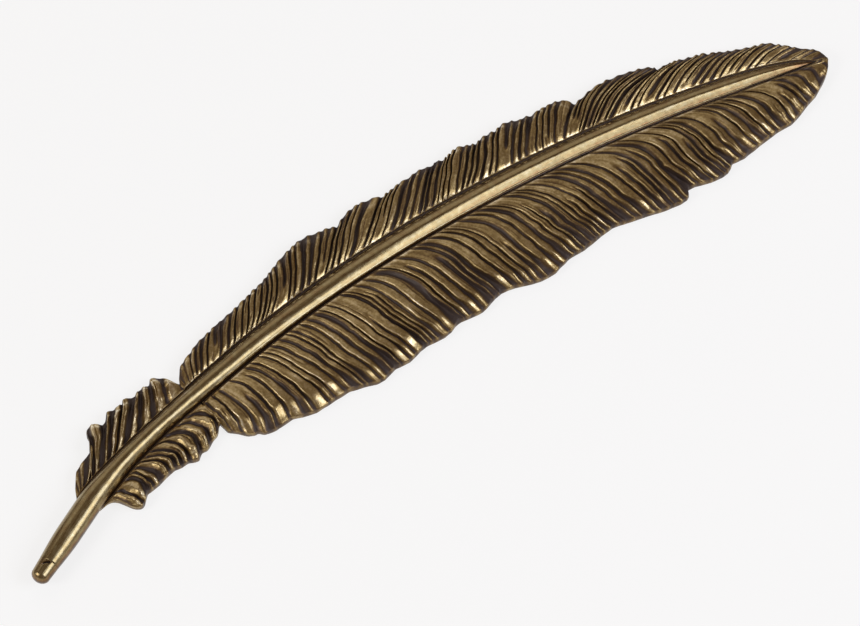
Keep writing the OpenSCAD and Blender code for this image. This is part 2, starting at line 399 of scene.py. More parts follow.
# Black nitrile disc, moulded: matt with a fine tooth
RUBBER = plain_finish("black_nitrile_moulded", "#1b1a19", 0.0, 0.7, 0.15, 0.02, "#2b2926")
# Oil-based ballpoint ink: near black with a blue cast and a wet gloss
INK = plain_finish("ballpoint_ink_paste", "#0c1026", 0.0, 0.12, 0.7, 0.01, "#151b3a")
# Tungsten carbide ball, lapped: dark mirror
CARBIDE = plain_finish("tungsten_carbide_lapped", "#8f8d8b", 1.0, 0.12, 0.1, 0.002, "#7d7b79")


def finish_piece(piece, material, body, slot, *nodes):
    """Gives a piece its material and its body, and hides the CAD nodes that it stands for. slot is not used.
    """
    piece.data.materials.append(material)
    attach(piece, body)
    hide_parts(*nodes)


# ---- Shaft ----

# Half the shaft's width, and the height of its ridge, at distances along it
HALF_WIDTH = [(18.5, 2.65), (25, 2.5), (31, 2.1), (42, 1.9), (60, 2.05), (100, 2.3), (170, 2.15),
              (190, 1.9), (200, 1.35), (204, 0.95), (207, 0.5), (209, 0.12), (213, 0.01)]
RIDGE = [(18.5, 5.3), (30, 5.0), (45, 4.6), (60, 4.25), (80, 3.95), (110, 3.85), (180, 3.75), (196, 3.5),
         (204, 3.1), (207, 2.6), (209.5, 2.0)]
# Height at which the front meets the back on the narrow vane's side, and on the wide vane's side
SEAT = 2.0
FOOT = 2.3
# Place of the ridge across the shaft, from -1 to 1, and the mm over which it is rounded
CREST = -0.15
CREST_ROUND = 0.10
# Places across the shaft of the two fine beads that run along it
WIDE_BEAD = -0.86
NARROW_BEAD = 0.93
# Blind bore behind the quill: the refill's bore and its end, then the pocket for the barrel's tenon
REFILL_BORE_R = 1.245
REFILL_BORE_TO = 26.7
TENON_POCKET_R = 1.77
TENON_POCKET_TO = 22.54


def half_width(s):
    """Half the shaft's width at s."""
    return ease(s, HALF_WIDTH)


def seat_height(s):
    """Height of the shaft's widest place: the quill's axis at first, falling to the seat over 9 mm."""
    return SEAT + (QUILL_R - SEAT) * (1 - step((s - SHAFT_FROM) / 9))


def shaft_top(x, s):
    """Height of the shaft's front at x from -1 to 1 across it.

    Near the quill it is half an ellipse from seat to ridge. Further on it turns into a roof: a straight
    flank from the wide vane's side up to a ridge left of the middle, and a quarter ellipse down to the narrow
    vane's side. The lower of the two counts, blended by a soft minimum: less the log of the sum of the
    exponentials of both heights below zero, over the mm of rounding.
    """
    ridge = ease(s, RIDGE, reach=3)
    seat = seat_height(s)
    round_top = seat + (ridge - seat) * np.sqrt(np.clip(1 - x * x, 0, 1))
    flank = FOOT + (ridge - FOOT) * (x + 1) / (1 + CREST)
    far_side = seat + (ridge - seat) * np.sqrt(np.clip(1 - ((x - CREST) / (1 - CREST)) ** 2, 0, 1))
    roof = -CREST_ROUND * np.log(np.exp(-flank / CREST_ROUND) + np.exp(-far_side / CREST_ROUND))
    bead = 0.10 * np.exp(-((x - WIDE_BEAD) / 0.06) ** 2) * step((s - 40) / 15)
    bead = bead + 0.09 * np.exp(-((x - NARROW_BEAD) / 0.05) ** 2) * step((s - 26) / 10)
    return round_top + bead + (roof - round_top) * step((s - 75) / 65)


def make_rachis():
    """The cast shaft: rings round its section from the quill to the tip, and a blind bore in its quill end.

    A ring is the front of shaft_top, then a superellipse underside whose exponent grows from a circle's 2 to
    a flat-backed 9. The rings start straight, on the quill's axis, and are on the curved run 6 mm later.
    """
    s = np.concatenate([np.arange(SHAFT_FROM, 30, 0.2), np.arange(30, SHAFT_TO, 0.3), [SHAFT_TO]])[:, None]
    front = np.linspace(math.pi, 0, 46)[None, :]
    under = np.linspace(0, math.pi, 26)[None, 1:-1]
    x_front = np.cos(front) * np.ones_like(s)
    exponent = 2 + 7 * step((s - SHAFT_FROM) / 8)
    x_under = np.sign(np.cos(under)) * np.abs(np.cos(under)) ** (2 / exponent)
    z_under = seat_height(s) * (1 - np.sin(under) ** (2 / exponent))
    x = np.concatenate([x_front, x_under], axis=1)
    z = np.concatenate([shaft_top(x_front, s), z_under], axis=1)
    w = x * half_width(s)
    dents = 0.020 * ripple(s, w, 5, (9.0, 14.0, 5.3)) + 0.008 * ripple(s, 3 * w, 6, (2.1, 3.3, 1.6))
    z = z + np.where(z > SEAT, dents * step((s - 20) / 6), 0)
    straight = on_quill(s, w, z - QUILL_ZERO[2])
    outside = straight + (placed(s + 0 * w, w, z) - straight) * step((s - SHAFT_FROM) / 6)[..., None]
    angle = np.concatenate([front, -under], axis=1)[0]
    bore = [on_quill(distance, radius * np.cos(angle), radius * np.sin(angle)) for distance, radius in (
        (REFILL_BORE_TO, REFILL_BORE_R), (TENON_POCKET_TO, REFILL_BORE_R), (TENON_POCKET_TO, TENON_POCKET_R),
        (SHAFT_FROM, TENON_POCKET_R))]

    # Bareness: the polish, with painted highlights on the wide vane's flank, which faces the key light, and
    # along the beads, which are also raised and rubbed bare; filmed low down and at both edges
    wear_and_sheen = 0.06 * step((-x - 0.05) / 0.25) * (1 - step((-x - 0.80) / 0.15))
    bare_and_sheen = POLISHED_BARE + wear_and_sheen - FILM * (1 - step((z - 1.9) / 1.6))
    bare_and_sheen = bare_and_sheen - 0.30 * step((np.abs(x) - 0.955) / 0.03) * step((s - 24) / 6)
    bare_and_sheen = bare_and_sheen + 0.25 * (np.exp(-((x - WIDE_BEAD) / 0.05) ** 2) * step((s - 40) / 15)
                          + np.exp(-((x - 0.91) / 0.04) ** 2) * step((s - 26) / 10))
    bareness_and_sheen = np.concatenate([np.full((len(bore), bare_and_sheen.shape[1]), 0.5), bare_and_sheen])
    lie = np.stack(np.broadcast_arrays(s, w, 0), axis=-1)
    lie = np.concatenate([np.repeat(lie[:1], len(bore), axis=0), lie])
    piece = lofted("rachis_cast", np.concatenate([np.array(bore), outside]), {"bareness_and_sheen": bareness_and_sheen, "lie": lie})
    piece.data.set_sharp_from_angle(angle=math.radians(50))
    finish_piece(piece, POLISHED, "feather", "antique_brass_polished", "rachis")


# ---- Vanes ----

# Each outline: distance along the shaft, and width from the shaft's centreline
UPPER_TUFT = [(18.5, 2.9), (20, 4.3), (23.4, 6.8), (25, 6.95), (28, 7.3), (29.9, 7.8), (30.1, 9),
              (30.5, 10.5), (31.7, 11.7), (33, 11.3), (34, 10.1), (35.2, 10.1), (36.5, 10.9), (38, 10.6),
              (39, 10), (41, 10.4), (42.2, 10.1), (43.2, 9.4), (44.7, 10.05), (46, 9.4), (47, 9.4),
              (47.9, 9.9), (49, 9.3), (49.9, 8), (50.5, 6.4), (50.9, 4.4)]
UPPER_MAIN = [(51.2, 4.3), (52, 5.4), (54, 7.3), (56, 7.9), (58, 8.3), (60, 8.9), (62, 9.15), (66, 9.3),
              (70, 9.4), (73, 9.8), (76, 10.2), (79, 10.6), (82, 11.3), (85, 12.1), (88, 12.9), (91, 13.3),
              (93, 13.3), (95, 12.8), (97.5, 12.2), (99.3, 11.4), (100.5, 11.9), (102, 12.7), (104, 13.1),
              (106, 13.1), (108.5, 12.6), (110.5, 11.9), (113, 11.9), (115.5, 12.2), (118, 12.3),
              (120, 12.8), (122, 12.6), (123, 12.3), (125, 12.6), (126.5, 12.1), (128.5, 12.6),
              (130.7, 13.1), (133, 12.4), (134.5, 12.0), (136.5, 12.6), (138.5, 12.9), (139.2, 12.5),
              (141.5, 13.2), (143.5, 13.0), (145.2, 12.2), (147, 12.4), (148, 12.1), (150, 12.6),
              (153.5, 12.8), (155, 12.5), (156.5, 11.5), (157.6, 10.3), (159, 10.7), (161, 11.5),
              (163, 12.1), (166, 12.5), (170, 12.4), (174, 12.1), (175.5, 11.8), (176.5, 11.2),
              (177.5, 10.4), (179.7, 10.8), (184.5, 10.6), (188, 10.2), (189.5, 9.7), (192, 9.0),
              (194, 8.5), (198, 8.1), (201.5, 7.7), (204, 6.4), (206, 5.2), (208, 4.0), (209.3, 3.45),
              (210.3, 3.15), (211, 2.65), (211.5, 2.05), (212.2, 1.05), (212.45, 0.3), (212.5, 0)]
LOWER_TUFT = [(18.8, 2.6), (19.2, 2.7), (20.1, 2.85), (21, 2.98), (21.7, 3.2), (22.3, 3.55), (22.7, 4.05),
              (23.1, 4.8), (23.3, 5.8), (23.4, 6.8), (23.7, 7.9), (24.3, 8.7), (25, 9.1), (26.1, 9.0),
              (27.3, 8.5), (28.6, 7.9), (29.8, 8.2), (31.8, 8.5), (34.8, 8.5), (36.8, 8.6), (38.3, 9.3),
              (40.1, 9.6), (41.1, 10.4), (42, 10.8), (43, 10.3), (43.8, 10), (44.8, 10.4), (45.8, 10.2),
              (47.3, 9.7), (48.8, 9.5), (49.6, 9), (50.3, 8.4), (51, 8.0)]
LOWER_MAIN = [(50.4, 8.6), (51, 10.6), (52.3, 12.2), (53.3, 14), (54.6, 15), (55.4, 15.1), (56, 16.2),
              (57.1, 16.7), (58.5, 17.2), (61, 17.6), (63, 17.8), (65, 19), (66.5, 19.6), (68, 20.1),
              (71, 20.5), (74, 20.8), (77, 21.1), (79, 21.9), (81, 22.6), (83, 23.5), (85, 23.8),
              (87, 23.5), (88.7, 23.2), (90.5, 23.5), (92.5, 23.8), (94.5, 23.5), (96, 23.1), (98, 23),
              (100, 23.3), (102.5, 23.6), (104.5, 23.4), (106, 22.8), (108, 22.6), (110, 22.9), (112, 23.2),
              (113.5, 23.3), (115.5, 22.8), (117.5, 22.1), (119.5, 21.8), (121.5, 21.9), (123, 22.2),
              (125, 22.8), (127, 23.4), (129, 23.8), (131, 23.9), (133, 23.7), (135, 23), (137, 22.4),
              (139, 22.1), (142, 22), (144, 21.6), (147, 20.8), (150, 20.3), (152, 20.5), (155, 20.9),
              (160, 21.4), (163, 21.7), (167, 21.8), (168.8, 21.5), (169.8, 20.8), (170.1, 19.4),
              (172, 19.2), (176, 19.6), (179, 19.5), (180.7, 19), (182, 18), (182.5, 17.3), (185.8, 17),
              (189.5, 15.7), (192.5, 14.7), (195.5, 13.7), (199.5, 12.8), (202, 11.5), (205, 9.3),
              (207.5, 7.7), (209.8, 5.4), (211, 3.9), (211.8, 2.7), (212.2, 2.0), (212.45, 1.2),
              (212.5, 0.4), (212.52, 0)]

# Where barbs go: root distance, forward reach, and further drift towards the rim
LOWER_FLOW = [(51, 0, 0), (54, 0, -2.2), (55.5, 0.8, -1.5), (56.5, 2, -2.4), (58.5, 2.5, -1.9),
              (60, 2.4, -1.9), (62, 3.1, -0.9), (66, 3.3, 1), (69, 3.7, 1.9), (77, 3.8, 2), (90, 5.5, 2.4),
              (106, 7.3, 2.7), (122, 8.7, 3.3), (138, 10, 4), (160, 9.3, 3.7), (175, 8.5, 3.5),
              (186, 8, 3.3), (195, 6.5, 2.8), (202, 6.0, 1.4), (206, 5.2, 0.5), (208, 4.5, 0)]
UPPER_FLOW = [(51, 0.3, 0), (52.5, 2.6, 0.9), (54.5, 4.8, 1.6), (60, 5.8, 1.4), (66.5, 6.2, 1.6),
              (75, 9.3, 0.2), (81.5, 8.6, 0.4), (87.5, 8.9, 0.6), (89.5, 8.8, 1), (93, 8.6, 2.4),
              (98.3, 9.6, 2.8), (110, 8, 2.4), (120, 7, 2), (135, 5.6, 1.6), (146, 4.6, 1.5),
              (151, 4.8, 1.8), (154, 6, 4.5), (158.2, 8, 8.6), (161, 8, 8.5), (166, 7.6, 7), (175, 7, 5.5),
              (185, 6.5, 4.5), (195, 6.2, 3.6), (202, 6.2, 1.8), (206, 5.3, 0.5), (208, 4.5, 0)]
UPPER_TUFT_FLOW = [(18.5, 0.1, 0), (20, 7.2, 0), (21.5, 8.4, -0.3), (24.3, 8.8, -0.4), (27.5, 10.0, -0.2),
                   (30.5, 10.7, 0), (33, 9.8, 0), (35.8, 8.6, 0), (39, 6.6, 0), (42.3, 4.7, 0),
                   (44.8, 3.8, 0), (48, 2.4, 0), (51, 0, 0)]
LOWER_TUFT_FLOW = [(18.8, 0, 0), (21, 1.2, 0), (22.5, 1.8, 0), (24, 2.7, -0.1), (25.8, 3.0, -0.8),
                   (29.8, 2.3, -0.5), (33.5, 3.4, -0.7), (39, 5, -2), (42, 5, -2), (44.5, 5.2, -1.8),
                   (47, 4, -1), (51, 0, 0)]

# Rows of mesh beside the shaft, as shares of the lip's width
LIP_ROWS = np.array([0, 0.10, 0.2, 0.3, 0.4, 0.5, 0.62, 0.74, 0.87, 1.0])[:, None]
# The lip's section: shares of its width, and mm above the vane's root. A deep groove, a thin edge, a channel
# and a beaded lip
LIP_HEIGHT = [(0, -0.55), (0.12, -0.62), (0.26, -0.40), (0.38, -0.10), (0.50, -0.32), (0.66, -0.34),
              (0.82, 0.03), (1.0, 0.10), (1.2, 0.0)]
# How bare the lip is rubbed at shares of its width
LIP_BARE = [(0, 0.0), (0.2, 0.0), (0.30, 0.40), (0.38, 0.80), (0.5, 0.15), (0.66, 0.10), (0.80, 0.75),
            (1.0, 0.95), (1.2, 0.8)]
# The rim's wall from top to bottom: mm out from the rim, share of the height, share of the grooves' notches,
# and how bare it is rubbed
RIM_OUT, RIM_UP, RIM_NOTCH, RIM_BARE = np.array([
    (-0.06, 0.94, 1.0, 0.58), (0.0, 0.84, 0.95, 0.55), (0.05, 0.62, 0.75, 0.50), (0.04, 0.35, 0.4, 0.47),
    (-0.06, 0.12, 0.1, 0.44), (-0.28, 0.0, 0.0, 0.40)]).T[:, :, None]
# Half the height of a vane where it runs out into the shaft, and the lowest that its carved front goes
MIDDLE_Z = 2.3
LOWEST_FRONT = 0.9
# A vane narrower than this has proportionally less relief
FULL_RELIEF_W = 8


def random_grooves(low, high, pitch, spread, own):
    """Places from low to high whose gaps are pitch times a random factor of 1 give or take the spread."""
    gaps = pitch * (1 + spread * own.uniform(-1, 1, int(2 * (high - low) / pitch) + 8))
    places = low - pitch + np.cumsum(gaps)
    return places[:np.searchsorted(places, high + 2 * pitch)]


def strands(t, root, reach, drift, curl):
    """Distance along the shaft of a barb at share t of its length: root + reach * f(t) + drift * t^3.

    f rises fast and then levels out: (1 - exp(-t / curl)) over its value at 1.
    """
    return root + reach * (1 - np.exp(-t / curl)) / (1 - math.exp(-1 / curl)) + drift * t ** 3


def lay_barbs(span, columns, outline, flow, cut):
    """Where every point of a vane's front lies in plan, with the measures that the carving needs.

    Columns are barbs, rooted evenly along the span. Rows are shares t of a barb's length: ten over the lip
    beside the shaft, then the rest, closer together in the middle. Across, a barb goes from the shaft's side
    to the outline in proportion to t. count numbers the barbs in mm along the shaft, and spacing turns it
    into mm square to a barb.
    """
    root = np.linspace(span[0], span[1], columns)[None, :]
    square = step((root - span[0]) / 1.5)
    reach, drift = ease(root, flow, 1, 1.0) * square, ease(root, flow, 2, 1.0) * square
    end = root + reach + drift
    rim_w = ease(end, outline, 1, 0.25)
    span_w = np.maximum(rim_w - half_width(end), 0.12)
    lip_mm = cut["lip_mm"] * np.minimum(1, span_w / (3 * cut["lip_mm"]))
    lip_t = LIP_ROWS * lip_mm / span_w
    across = np.linspace(0, 1, cut["rows"])[1:, None]
    across = across + 0.06 * np.sin(2 * math.pi * across)
    t = np.concatenate([lip_t, lip_t[-1:] + (1 - lip_t[-1:]) * across])
    s = strands(t, root, reach, drift, cut["curl"])
    inner = half_width(s)
    w = inner * (1 - t) + rim_w * t
    along_s, along_w = np.gradient(s, axis=0), np.gradient(w, axis=0)
    next_s, next_w = np.gradient(s, axis=1), np.gradient(w, axis=1)
    count = root + 0.85 * reach + 0.3 * drift
    spacing = np.abs(next_s * along_w - next_w * along_s) / np.maximum(np.hypot(along_s, along_w), 1e-6)
    spacing = np.clip(spacing / np.maximum(np.gradient(count, axis=1), 1e-6), 0.25, 1.6)
    return SimpleNamespace(
        start=span[0], root=root, reach=reach, drift=drift, end=end, rim_w=rim_w, span_w=span_w, t=t, s=s,
        w=w, small=np.minimum(1, span_w / FULL_RELIEF_W), beside=(w - inner) / np.maximum(lip_mm, 1e-6),
        inside_mm=(1 - t) * span_w, count=count, spacing=spacing)


def cut_grooves(lay, cut, seed, own):
    """The grooves between barbs, the hairlines in them and the fine scratches, each as a depth from 0 to 1.

    Grooves are at random places in count, moved to the splits where they are near one, and wander smoothly. x
    goes from -1 to 1 between a barb's two grooves. A late groove starts part of the way along, where one barb
    becomes two.
    """
    t, w, count = lay.t, lay.w, lay.count
    grooves = random_grooves(count.min(), count.max(), cut["pitch"], cut["spread"], own)
    split_at = np.interp(cut["splits"], lay.end[0], count[0])
    nearest = np.abs(grooves[:, None] - split_at).argmin(axis=0)
    grooves[nearest] = split_at
    is_split = np.isin(np.arange(len(grooves)), nearest)[np.argsort(grooves)]
    grooves = np.sort(grooves)
    wander = 0.30 * clouds(count / 9, w / 7, seed + 1) + 0.11 * clouds(count / 3.1, w / 2.6, seed + 2)
    wander = wander + 0.05 * clouds(count / 1.3, w / 1.1, seed + 3)
    place = count + cut["wander"] * cut["pitch"] * wander * step(t * 4)
    right = np.clip(np.searchsorted(grooves, place), 1, len(grooves) - 1)
    left = right - 1
    gap = grooves[right] - grooves[left]
    gap_mm = gap * lay.spacing
    x = 2 * (place - grooves[left]) / gap - 1

    # Each groove's own width and depth, and where it starts
    number = len(grooves)
    wide = cut["groove"] * np.exp(own.uniform(-0.55, 0.45, number))
    deep = own.uniform(0.75, 1.1, number)
    is_late = (own.uniform(0, 1, number) < cut["late"]) & ~is_split
    late = np.where(is_late, own.uniform(0.05, 0.40, number), -1)
    flare = 1 + cut["flare"] * step((t - 0.70) / 0.30)

    def present(index):
        """1 where this groove is cut at this place along it, falling to 0 before its start."""
        return step((t - late[index]) / 0.22)

    def carved(index, distance):
        """Groove depth from 0 to 1 at a distance in mm from its centre line: exp(-(distance / width)^2.4)."""
        width = wide[index] * flare * np.where(is_split[index], 1.5, 1.0) * np.clip(gap_mm / 1.6, 0.35, 1.2)
        amount = deep[index] * (1 + 0.22 * clouds(index * 7.3, w / 3.1, seed + 4))
        amount = amount * np.where(is_split[index], 1 + 0.8 * step((t - 0.45) / 0.4), present(index))
        return amount * np.exp(-np.abs(distance / width) ** 2.4)

    groove = np.maximum(carved(left, (place - grooves[left]) * lay.spacing),
                        carved(right, (grooves[right] - place) * lay.spacing))
    groove = groove * step((lay.root - lay.start - cut["smooth_mm"] + 2) / 2)
    # Hairline forks in some barbs, fading in or out along them, and finer scratches in patches
    forked = own.uniform(0, 1, number) < cut["forks"]
    fork_at, fork_from = own.uniform(-0.3, 0.4, number), own.uniform(0.15, 0.7, number)
    fork_in = step((t - fork_from[left]) / 0.12)
    fork_in = np.where(own.uniform(0, 1, number)[left] < 0.55, fork_in, 1 - fork_in)
    fork_mm = (x - fork_at[left]) * gap_mm / 2
    hairline = 0.6 * forked[left] * (gap_mm > 1.0) * fork_in * np.exp(-np.abs(fork_mm / 0.14) ** 1.7)
    fine = 0.6 * cut["scratches"] * np.clip(clouds(place / 0.36, w / 6, seed + 5), 0, 1) ** 2
    fine = fine * step(1.6 * clouds(count / 5, w / 4, seed + 6))
    back_x = np.abs(2 * (count - grooves[left[-1:]]) / gap[-1:] - 1)
    return SimpleNamespace(place=place, left=left, number=number, x=x, groove=groove, hairline=hairline,
                           fine=fine, in_left=present(left), in_right=present(right), back_x=back_x)


def carve_front(lay, grooves, cut, seed, own):
    """Height of a vane's front, and how bare the metal is rubbed there, with painted highlights on the barbs'
    high edges and where their ends fall to the rim.

    The height is a base that swells between shaft and rim, less the grooves. Between two grooves a barb's
    back is tilted, with its quill side high, or in a tuft it is a leaf: exp(-(x / side)^2) about its own
    ridge. Its end falls to the rim in a millimetre or two, and the lip beside the shaft replaces it there.
    """
    t, w, x, small, left = lay.t, lay.w, grooves.x, lay.small, grooves.left
    groove, leaf = grooves.groove, cut["leaf"]
    in_both = np.minimum(grooves.in_left, grooves.in_right)
    depth = (cut["depth_root"] + (cut["depth_rim"] - cut["depth_root"]) * t) * small
    own_height = own.uniform(-0.10, 0.16, grooves.number)[left] * in_both
    tilt = own.uniform(0.10, 0.32, grooves.number)[left] * (-x)
    tilt = tilt * (grooves.in_left * (1 - x) + grooves.in_right * (1 + x)) / 2
    tilt = tilt + 0.13 * np.sqrt(np.clip(1 - x * x, 0, 1)) * in_both
    dents = 0.05 * clouds(lay.s / 2.3, w / 2.3, seed + 7) + 0.05 * clouds(lay.s / 0.8, w / 1.1, seed + 8)
    x_ridge = own.uniform(-0.3, 0.1, grooves.number)[left]
    leaf_side = np.where(x < x_ridge, 0.42, 0.92)
    leaf_top = np.exp(-((x - x_ridge) / leaf_side) ** 2)
    body = 1 - leaf + leaf * leaf_top
    rib = depth * (body * np.clip(1 - groove, -0.4, 1) - 0.5 * grooves.hairline - 0.16 * grooves.fine)
    rib = rib + (own_height + (1 - leaf) * tilt + dents * cut["dents"]) * small * np.clip(1 - groove, 0, 1)

    # Barb ends: the fall starts later on the middle of each barb
    set_back = own.uniform(0.0, 0.55, grooves.number)[left] * small + 0.35 * x * x * small
    fall_mm = cut["fall"] * own.uniform(0.6, 1.4, grooves.number)[left] * small
    fall = step((set_back + fall_mm - lay.inside_mm) / np.maximum(fall_mm, 1e-3))
    crest_power = math.log(0.5) / math.log(cut["crest_at"])
    base = cut["root_z"] + (cut["rim_z"] - cut["root_z"]) * t
    base = base + cut["crest"] * np.minimum(1, lay.span_w / 11) * np.sin(math.pi * t ** crest_power)
    base = base - (base - MIDDLE_Z) * (1 - small) * 0.6
    base = base - cut["roll"] * small * step((3.6 - lay.inside_mm) / 3.6)
    z = base - depth + rib * (1 - cut["fall_share"] * fall)
    z = z + cut["bulge"] * small * np.exp(-((lay.inside_mm - 2.0) / 1.1) ** 2) * (1 - groove) * (1 - x * x)

    # The lip beside the shaft
    lip_share = 1 - step((lay.beside - 0.85) / 0.6)
    beads = 0.12 * (1 - groove) * step((lay.beside - 0.6) / 0.2)
    lip_z = cut["lip_depth"] * lay.lip_in * (read(lay.beside, LIP_HEIGHT) + beads)
    z = z * (1 - lip_share) + (cut["root_z"] + lip_z * np.minimum(1, lay.span_w / 2)) * lip_share
    z = z - 0.8 * small * np.exp(-((lay.root - lay.start) / 0.45) ** 2)

    # Bareness: low in grooves, where the patina lies; full on the high edges, where a painted highlight line
    # runs along each barb's quill side
    painted_edge_highlight = np.exp(-((x + 0.78) / 0.17) ** 2) * grooves.in_left * (1 - leaf)
    bare_and_sheen = 0.70 + 0.26 * painted_edge_highlight + 0.10 * clouds(grooves.place / 0.5, lay.front_w / 3, seed + 11)
    bare_and_sheen = bare_and_sheen * (1 - leaf) + leaf * (0.18 + 0.72 * leaf_top ** 0.7)
    bare_and_sheen = bare_and_sheen - 0.85 * np.clip(groove * 1.15, 0, 1) - 0.45 * grooves.hairline - 0.25 * grooves.fine
    # Painted highlight on the slope where each barb's end falls to the rim
    bare_and_sheen = bare_and_sheen + 0.48 * fall * (1 - fall)
    lip_bare = 0.55 + (read(lay.beside, LIP_BARE) - 0.55) * lay.lip_in * (0.4 + 0.6 * cut["lip_depth"])
    bare_and_sheen = bare_and_sheen * (1 - lip_share) + lip_bare * (0.5 + 0.5 * (1 - groove)) * lip_share
    return np.maximum(z, LOWEST_FRONT), bare_and_sheen


def make_vane(name, side, span, columns, outline, flow, seed, cut):
    """One vane as a closed skin whose columns follow its barbs: over the front, down the rim, along the back.

    side is 1 on the narrow vane's side and -1 on the other. The rim is lobed at random and notched by the
    grooves, its wall has a rounded edge, and the flat back has a shallow line along each groove.
    """
    own = np.random.default_rng(seed)
    lay = lay_barbs(span, columns, outline, flow, cut)
    lay.lip_in = step((lay.root - span[0]) / cut["smooth_mm"]) if cut["smooth_mm"] else 1.0
    grooves = cut_grooves(lay, cut, seed, own)
    small, end, rim_groove = lay.small, lay.end, grooves.groove[-1:]
    edge = 0.14 * small * clouds(end / 3.3, 0 * end, seed + 9) - cut["notch"] * small * rim_groove
    lay.front_w = lay.w + (edge - 0.22 * small) * step((lay.t - 0.6) / 0.4)
    z, bare_and_sheen = carve_front(lay, grooves, cut, seed, own)

    wall_out = (RIM_OUT + 0.06 * clouds(end / 1.7, RIM_UP * 2, seed + 10)) * small
    wall_w = lay.rim_w + wall_out + RIM_NOTCH * edge
    back_t = np.linspace(0.97, 0, cut["back_rows"])[:, None] + 0 * end
    back_s = strands(back_t, lay.root, lay.reach, lay.drift, cut["curl"])
    back_w = half_width(back_s) * (1 - back_t) + (wall_w[-1:] - 0.2 * small) * back_t
    back_cut = step((grooves.back_x - 0.6) / 0.4) * step(back_t * 6) * step((1 - back_t) * 12)
    back_z = 0.16 * back_cut * small + 0.30 * np.exp(-((back_t * lay.span_w) / 0.5) ** 2)

    # Two last rows stand up inside the shaft and close the skin
    all_s = np.concatenate([lay.s, np.repeat(lay.s[-1:], len(RIM_UP), axis=0), back_s, lay.s[:1], lay.s[:1]])
    all_w = np.concatenate([lay.front_w, wall_w, back_w, lay.front_w[:1], lay.front_w[:1]])
    all_z = np.concatenate([z, z[-1:] * RIM_UP, back_z, 0.45 + 0 * z[:1], z[:1] * 0.6])
    if cut["smooth_mm"]:
        all_z = MIDDLE_Z + (all_z - MIDDLE_Z) * (0.08 + 0.92 * lay.lip_in)
    wall_bare = RIM_BARE - 0.30 * rim_groove * RIM_NOTCH
    wall_bare = wall_bare + 0.14 * clouds(end / 1.6, RIM_UP * 2 + 0 * end, seed + 12)
    bareness_and_sheen = np.concatenate([bare_and_sheen, wall_bare, 0.66 - 0.5 * back_cut, np.zeros((2, columns))]).T
    rings = placed(all_s, side * all_w, all_z).transpose(1, 0, 2)
    piece = lofted(name + "_cast", rings, {"bareness_and_sheen": bareness_and_sheen})
    finish_piece(piece, CARVED, "feather", "antique_brass_patina", name)


# The carving of a vane. In mm: the barbs' pitch, half a groove's width, the relief at root and rim, the fall
# at a barb's end, the notch that a groove cuts in the rim, how far the rim rolls over, the run-out at the
# quill's end, the lip's width, the heights of root, rim and crest, and where the splits are along the shaft.
# rows and back_rows are counts of mesh rows, and the rest are shares and factors from 0 to about 2.
MAIN = {"pitch": 2.0, "spread": 0.45, "groove": 0.27, "flare": 0.8, "late": 0.20, "forks": 0.55,
        "wander": 1.0, "depth_root": 0.45, "depth_rim": 0.80, "leaf": 0.0, "fall": 2.2, "fall_share": 0.75,
        "bulge": 0.0, "rows": 38, "back_rows": 8, "smooth_mm": 0, "dents": 1.0, "notch": 0.30, "roll": 0.0,
        "lip_depth": 1.0, "scratches": 1.3}
LOWER = {**MAIN, "roll": 0.5, "curl": 0.18, "lip_mm": 0.75, "root_z": 2.45, "rim_z": 2.85, "crest": 0.85,
         "crest_at": 0.55, "splits": (88.7, 97, 107, 119.5, 150, 170, 182.3)}
UPPER = {**MAIN, "pitch": 1.85, "spread": 0.35, "late": 0.25, "fall": 1.4, "fall_share": 0.55, "notch": 0.16,
         "scratches": 2.2, "curl": 1.0, "lip_mm": 0.95, "root_z": 2.25, "rim_z": 2.6, "crest": 0.90,
         "crest_at": 0.40, "splits": (99.3, 111.5, 124, 134.5, 148, 157.6, 177.5, 189)}
TUFT = {**MAIN, "forks": 0.7, "flare": 0.5, "fall": 1.0, "fall_share": 0.55, "rows": 44, "lip_depth": 0.6,
        "rim_z": 2.7, "crest_at": 0.5}
UPPER_CUT = {**TUFT, "pitch": 2.6, "spread": 0.25, "wander": 1.1, "depth_root": 0.7, "depth_rim": 1.35,
             "leaf": 1.0, "bulge": 0.2, "dents": 1.6, "late": 0.0, "smooth_mm": 2.5, "curl": 1.5,
             "lip_mm": 0.7, "root_z": 2.3, "crest": 0.9, "splits": (31.0, 35.0)}
LOWER_CUT = {**TUFT, "pitch": 2.5, "spread": 0.3, "wander": 1.6, "depth_root": 0.55, "depth_rim": 1.25,
             "leaf": 0.6, "bulge": 0.45, "dents": 2.4, "late": 0.1, "smooth_mm": 5.0, "curl": 0.3,
             "lip_mm": 0.55, "root_z": 2.4, "crest": 0.7, "splits": (29.0, 38.0)}

make_rachis()
make_vane("lower_vane", -1, (51, 208), 1450, LOWER_MAIN, LOWER_FLOW, 101, LOWER)
make_vane("upper_vane", 1, (51, 208), 1450, UPPER_MAIN, UPPER_FLOW, 202, UPPER)
make_vane("upper_afterfeather", 1, (18.5, 51), 700, UPPER_TUFT, UPPER_TUFT_FLOW, 303, UPPER_CUT)
make_vane("lower_afterfeather", -1, (18.8, 51), 700, LOWER_TUFT, LOWER_TUFT_FLOW, 404, LOWER_CUT)


# ---- Quill, cap and refill ----

# Radii: the quill at the cap's seam, its spigot in front and its tenon behind, and the parts inside it
CAP_R = 2.175
SPIGOT_R = 1.65
TENON_R = 1.75
BUSH_R = 1.45
REFILL_R = 1.175
TUBE_BORE_R = 0.95
SEAL_R = 0.8
# Distance where the quill's taper ends
TAPER_TO = 11.5
# Nail nick: its depth, and the angle round the top at which it starts and over which it runs
NICK_DEPTH = 0.40
NICK_FROM = -0.46
NICK_TURN = 0.84


